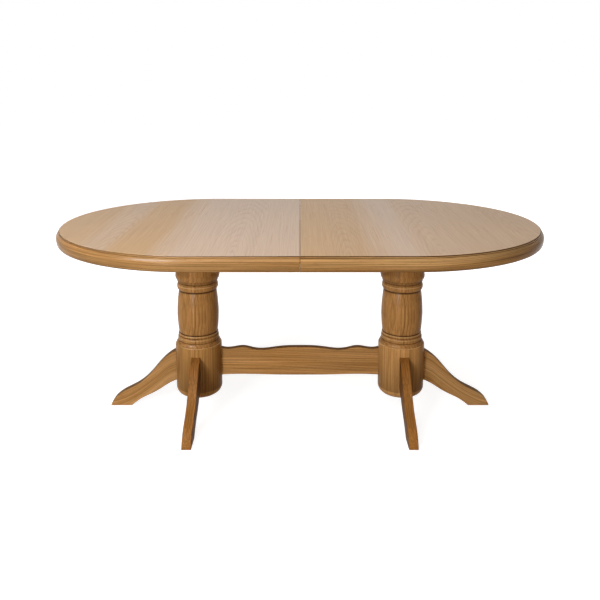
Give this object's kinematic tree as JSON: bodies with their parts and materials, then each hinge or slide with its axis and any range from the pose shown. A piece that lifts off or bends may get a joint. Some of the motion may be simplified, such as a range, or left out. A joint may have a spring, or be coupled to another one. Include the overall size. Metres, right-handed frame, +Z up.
{
  "type": "dining table",
  "caption": "Oval extending dining table in light oak: two half tops slide apart on rails over turned pedestals with S-shaped legs and a wavy stretcher.",
  "frame": {"origin": "on the floor, under the middle of the table", "axes": "+X along the table's length to the right as seen from the front, +Y to the back, +Z up; the front is -Y"},
  "size_m": [1.87, 1.07, 0.76],
  "materials": {
    "oak_veneer": "satin lacquer, grain across the table",
    "oak_edge": "satin lacquer, grain along the moulding",
    "oak_turned": "satin lacquer, turned, grain upright",
    "oak_leg": "satin lacquer, grain along the board",
    "beech": "planed and waxed",
    "zinc_steel": "zinc plated",
    "brass": "stamped, lightly dulled",
    "nylon": "moulded"
  },
  "bodies": {
    "base": {"left_column": "oak_turned", "left_hub": "oak_turned", "left_tie_rod": "zinc_steel", "left_bearer": "beech", "left_outer_leg": "oak_leg", "left_front_leg": "oak_leg", "left_back_leg": "oak_leg", "right_column": "oak_turned", "right_hub": "oak_turned", "right_tie_rod": "zinc_steel", "right_bearer": "beech", "right_outer_leg": "oak_leg", "right_front_leg": "oak_leg", "right_back_leg": "oak_leg", "stretcher": "oak_leg", "front_rail": "beech", "back_rail": "beech", "centre_tie": "beech", "stop_pins": "beech", "rail_screws": "zinc_steel", "leg_bolts": "zinc_steel", "leg_nuts": "zinc_steel", "stretcher_bolts": "zinc_steel", "stretcher_nuts": "zinc_steel", "tie_rod_nuts": "zinc_steel", "column_dowels": "beech", "foot_glides": "nylon"},
    "left_top": {"left_panel": "oak_veneer", "left_edge_front": "oak_edge", "left_edge_front_bend": "oak_edge", "left_edge_end": "oak_edge", "left_edge_back_bend": "oak_edge", "left_edge_back": "oak_edge", "left_seam_batten": "beech", "left_middle_batten": "beech", "left_end_batten": "beech", "left_front_runner": "beech", "left_back_runner": "beech", "left_batten_screws": "zinc_steel", "left_runner_screws": "zinc_steel", "seam_dowels": "beech", "lock_plates": "brass", "lock_screws": "zinc_steel"},
    "right_top": {"right_panel": "oak_veneer", "right_edge_front": "oak_edge", "right_edge_front_bend": "oak_edge", "right_edge_end": "oak_edge", "right_edge_back_bend": "oak_edge", "right_edge_back": "oak_edge", "right_seam_batten": "beech", "right_middle_batten": "beech", "right_end_batten": "beech", "right_front_runner": "beech", "right_back_runner": "beech", "right_batten_screws": "zinc_steel", "right_runner_screws": "zinc_steel", "lock_studs": "brass"},
    "front_lock": {"front_lock_lever": "brass"},
    "back_lock": {"back_lock_lever": "brass"}
  },
  "joints": [
    {"name": "left_slide", "type": "slide", "parent": "base", "child": "left_top", "axis": [-1, 0, 0], "range_m": [0, 0.225]},
    {"name": "right_slide", "type": "slide", "parent": "base", "child": "right_top", "axis": [1, 0, 0], "range_m": [0, 0.225]},
    {"name": "front_lock_swing", "type": "hinge", "parent": "left_top", "child": "front_lock", "pos_m": [-0.035, -0.33, 0.7142], "axis": [0, 0, 1], "range_deg": [0, 90]},
    {"name": "back_lock_swing", "type": "hinge", "parent": "left_top", "child": "back_lock", "pos_m": [-0.035, 0.33, 0.7142], "axis": [0, 0, -1], "range_deg": [0, 90]}
  ]
}
